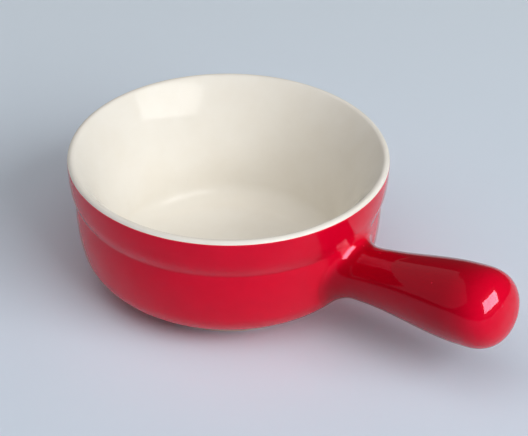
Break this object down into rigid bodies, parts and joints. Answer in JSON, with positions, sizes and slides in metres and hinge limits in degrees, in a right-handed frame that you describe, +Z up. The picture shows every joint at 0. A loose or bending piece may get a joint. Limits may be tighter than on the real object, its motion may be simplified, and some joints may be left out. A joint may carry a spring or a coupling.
{
  "type": "handled ramekin",
  "caption": "Small round baking dish of glazed stoneware, cream inside and red outside, with a stepped wall, a bare foot ring and a thick straight club-shaped handle.",
  "frame": {"origin": "on the table, under the middle of the whole ramekin, bowl and handle together", "axes": "+X from the bowl towards the handle's tip, +Z up along the bowl's axis"},
  "size_m": [0.1538, 0.1, 0.0442],
  "materials": {
    "stoneware": "bare fired clay, fine and matt",
    "slip": "bare fired slip, matt",
    "cream_glaze": "glossy cream glaze",
    "red_glaze": "glossy bright red glaze"
  },
  "bodies": {
    "root": {"bowl_body": "stoneware", "handle_body": "stoneware", "slip_joint": "slip", "interior_glaze": "cream_glaze", "exterior_glaze": "red_glaze", "base_glaze": "cream_glaze"}
  },
  "joints": []
}
